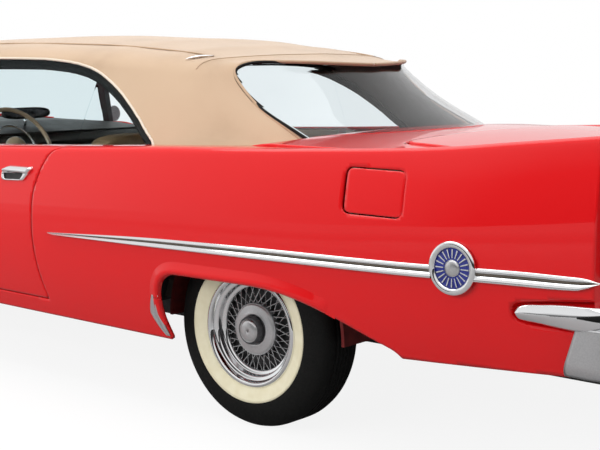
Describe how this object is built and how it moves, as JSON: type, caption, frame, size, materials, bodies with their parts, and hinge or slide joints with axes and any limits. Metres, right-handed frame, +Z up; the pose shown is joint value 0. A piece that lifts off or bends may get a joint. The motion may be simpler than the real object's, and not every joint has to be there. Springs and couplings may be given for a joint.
{
  "type": "two-door convertible car",
  "caption": "Long low finned convertible with raised fabric top, wrap-around rear window, spoked wheel covers and opening doors, hood and boot lid; seats people and carries luggage.",
  "frame": {"origin": "on the ground, under the middle of the car's overall box", "axes": "+X forward, +Y to the car's left, +Z up"},
  "size_m": [5.568, 2.008, 1.38],
  "materials": {
    "body_paint": "gloss red",
    "tyre": "matte",
    "wheel_chrome": "polished",
    "glass": "clear",
    "chrome": "polished",
    "headlamp": "clear",
    "tail_lamp": "gloss",
    "top_fabric": "woven",
    "seat_leather": "satin",
    "dash": "satin",
    "steering_wheel": "gloss",
    "engine": "satin",
    "steel": "satin",
    "underbody": "matte",
    "chassis": "satin"
  },
  "bodies": {
    "body": {"frame_rails": "chassis", "crossmembers": "chassis", "floor_pan": "underbody", "cowl": "body_paint", "wheel_houses": "underbody", "radiator": "steel", "engine_block": "engine", "front_fender_left": "body_paint", "front_fender_right": "body_paint", "front_panel": "body_paint", "grille": "chrome", "front_bumper": "chrome", "headlamps": "headlamp", "windshield_frame": "chrome", "fixed_glass": "glass", "rear_quarter_left": "body_paint", "rear_quarter_right": "body_paint", "deck_panel": "body_paint", "tail_lamps": "tail_lamp", "rear_bumper": "chrome", "soft_top": "top_fabric", "front_seat": "seat_leather", "rear_seat": "seat_leather", "dashboard": "dash", "rear_axle": "chassis", "exhaust_system": "steel", "fuel_tank": "steel", "side_spears": "chrome"},
    "hood": {"hood": "body_paint"},
    "trunk_lid": {"trunk_lid": "body_paint"},
    "door_left": {"door_left": "body_paint", "door_glass_left": "glass"},
    "door_right": {"door_right": "body_paint", "door_glass_right": "glass"},
    "fuel_door": {"fuel_door": "body_paint"},
    "steering_wheel": {"steering_wheel": "steering_wheel"},
    "knuckle_left": {"knuckle_left": "chassis"},
    "knuckle_right": {"knuckle_right": "chassis"},
    "wheel_front_left": {"wheel_front_left": "wheel_chrome", "tyre_front_left": "tyre"},
    "wheel_front_right": {"wheel_front_right": "wheel_chrome", "tyre_front_right": "tyre"},
    "wheel_rear_left": {"wheel_rear_left": "wheel_chrome", "tyre_rear_left": "tyre"},
    "wheel_rear_right": {"wheel_rear_right": "wheel_chrome", "tyre_rear_right": "tyre"}
  },
  "joints": [
    {"name": "hood_hinge", "type": "hinge", "parent": "body", "child": "hood", "pos_m": [1.41, 0, 0.872], "axis": [0, -1, 0], "range_deg": [0, 50]},
    {"name": "trunk_hinge", "type": "hinge", "parent": "body", "child": "trunk_lid", "pos_m": [-1.624, 0, 0.95], "axis": [0, 1, 0], "range_deg": [0, 60]},
    {"name": "door_left_hinge", "type": "hinge", "parent": "body", "child": "door_left", "pos_m": [1.045, 0.967, 0.59], "axis": [0, 0, -1], "range_deg": [0, 65]},
    {"name": "door_right_hinge", "type": "hinge", "parent": "body", "child": "door_right", "pos_m": [1.045, -0.967, 0.59], "axis": [0, 0, 1], "range_deg": [0, 65]},
    {"name": "fuel_door_hinge", "type": "hinge", "parent": "body", "child": "fuel_door", "pos_m": [-1.871, 0.96385, 0.882], "axis": [0, 0.1712, -0.9852], "range_deg": [0, 95]},
    {"name": "steer_left", "type": "hinge", "parent": "body", "child": "knuckle_left", "pos_m": [1.844, 0.69, 0.345], "axis": [0, 0, 1], "range_deg": [-32, 32]},
    {"name": "steer_right", "type": "hinge", "parent": "body", "child": "knuckle_right", "pos_m": [1.844, -0.69, 0.345], "axis": [0, 0, 1], "range_deg": [-32, 32]},
    {"name": "steering_wheel_turn", "type": "hinge", "parent": "body", "child": "steering_wheel", "pos_m": [0.52, 0.38, 0.862], "axis": [-0.891, 0, 0.454], "range_deg": [-576, 576]},
    {"name": "spin_front_left", "type": "hinge", "parent": "knuckle_left", "child": "wheel_front_left", "pos_m": [1.844, 0.777, 0.345], "axis": [0, 1, 0], "continuous": true},
    {"name": "spin_front_right", "type": "hinge", "parent": "knuckle_right", "child": "wheel_front_right", "pos_m": [1.844, -0.777, 0.345], "axis": [0, 1, 0], "continuous": true},
    {"name": "spin_rear_left", "type": "hinge", "parent": "body", "child": "wheel_rear_left", "pos_m": [-1.356, 0.7595, 0.345], "axis": [0, 1, 0], "continuous": true},
    {"name": "spin_rear_right", "type": "hinge", "parent": "body", "child": "wheel_rear_right", "pos_m": [-1.356, -0.7595, 0.345], "axis": [0, 1, 0], "continuous": true}
  ],
  "couplings": [
    {"joint": "steer_right", "follows": "steer_left", "ratio": 1},
    {"joint": "steering_wheel_turn", "follows": "steer_left", "ratio": 18}
  ]
}
